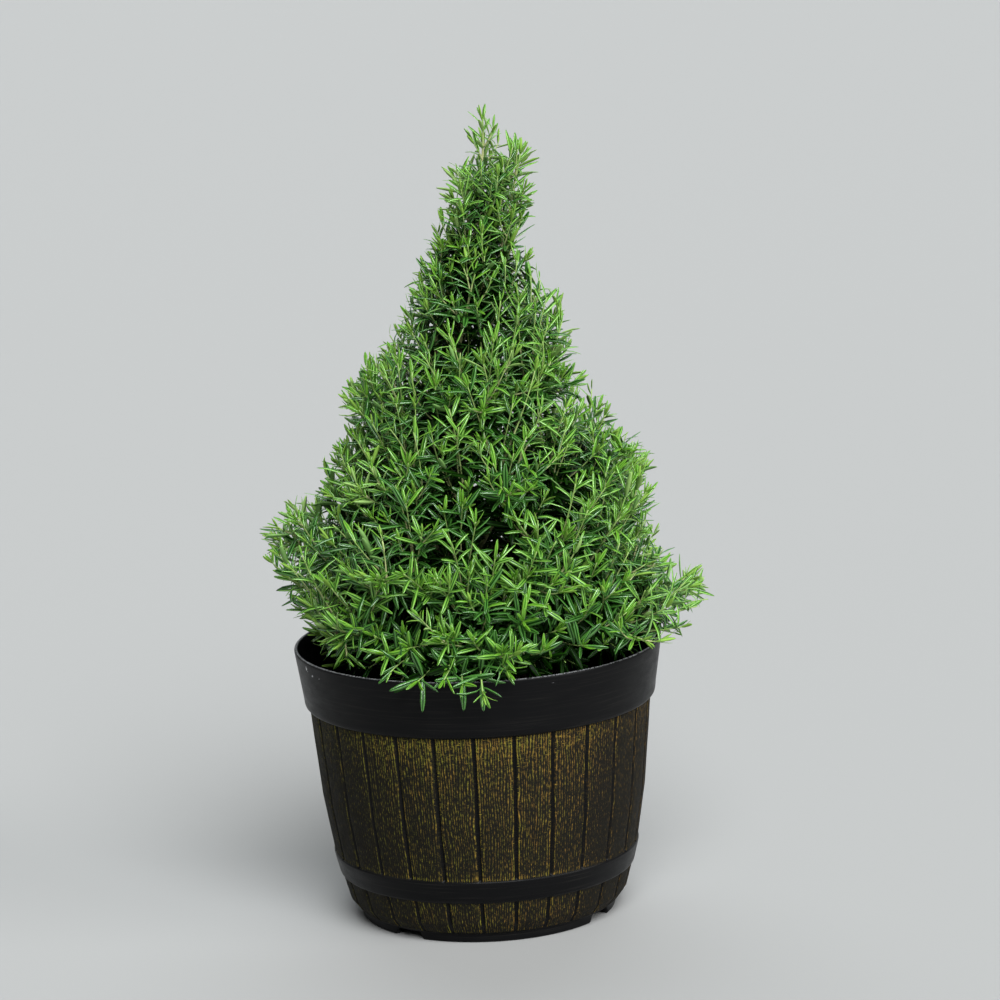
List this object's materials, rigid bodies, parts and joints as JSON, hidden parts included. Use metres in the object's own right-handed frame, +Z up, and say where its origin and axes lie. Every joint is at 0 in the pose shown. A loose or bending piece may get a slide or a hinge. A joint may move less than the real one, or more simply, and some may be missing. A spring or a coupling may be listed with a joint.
{
  "type": "potted rosemary tree",
  "caption": "Rosemary trained as a small leaning cone with three spires, in a nursery pot set inside a round plastic planter moulded as a barrel of staves.",
  "frame": {"origin": "centre of the planter's flat underside", "axes": "+Z up, the side that the picture shows towards -Y, +X to the right of that side"},
  "size_m": [0.3937, 0.3531, 0.6841],
  "materials": {
    "planter": "charcoal satin plastic with a moulded wood grain, gold rubbed over the staves in streaks, collar and hoop plain black",
    "nursery_pot": "thin black plastic with a dull sheen",
    "compost": "dark brown compost with crumbs and chips of bark",
    "bark": "grey-brown bark, cracked lengthwise",
    "foliage": "narrow dark green needles with a pale middle stripe, yellow-green at the tips"
  },
  "bodies": {
    "root": {"planter": "planter", "nursery_pot": "nursery_pot", "compost": "compost", "trunk": "bark", "bough_skirt_1": "bark", "bough_skirt_2": "bark", "bough_skirt_3": "bark", "bough_skirt_4": "bark", "bough_skirt_5": "bark", "bough_skirt_6": "bark", "bough_skirt_7": "bark", "bough_lower_1": "bark", "bough_lower_2": "bark", "bough_lower_3": "bark", "bough_lower_4": "bark", "bough_lower_5": "bark", "bough_lower_6": "bark", "bough_middle_1": "bark", "bough_middle_2": "bark", "bough_middle_3": "bark", "bough_middle_4": "bark", "bough_middle_5": "bark", "bough_middle_6": "bark", "bough_upper_1": "bark", "bough_upper_2": "bark", "bough_upper_3": "bark", "bough_upper_4": "bark", "bough_spire_1": "bark", "bough_spire_2": "bark", "bough_spire_3": "bark", "bough_spire_4": "bark", "foliage_skirt_1": "foliage", "foliage_skirt_2": "foliage", "foliage_skirt_3": "foliage", "foliage_skirt_4": "foliage", "foliage_skirt_5": "foliage", "foliage_skirt_6": "foliage", "foliage_skirt_7": "foliage", "foliage_lower_1": "foliage", "foliage_lower_2": "foliage", "foliage_lower_3": "foliage", "foliage_lower_4": "foliage", "foliage_lower_5": "foliage", "foliage_lower_6": "foliage", "foliage_middle_1": "foliage", "foliage_middle_2": "foliage", "foliage_middle_3": "foliage", "foliage_middle_4": "foliage", "foliage_middle_5": "foliage", "foliage_middle_6": "foliage", "foliage_upper_1": "foliage", "foliage_upper_2": "foliage", "foliage_upper_3": "foliage", "foliage_upper_4": "foliage", "foliage_spire_1": "foliage", "foliage_spire_2": "foliage", "foliage_spire_3": "foliage", "foliage_spire_4": "foliage", "foliage_leader": "foliage"}
  },
  "joints": []
}
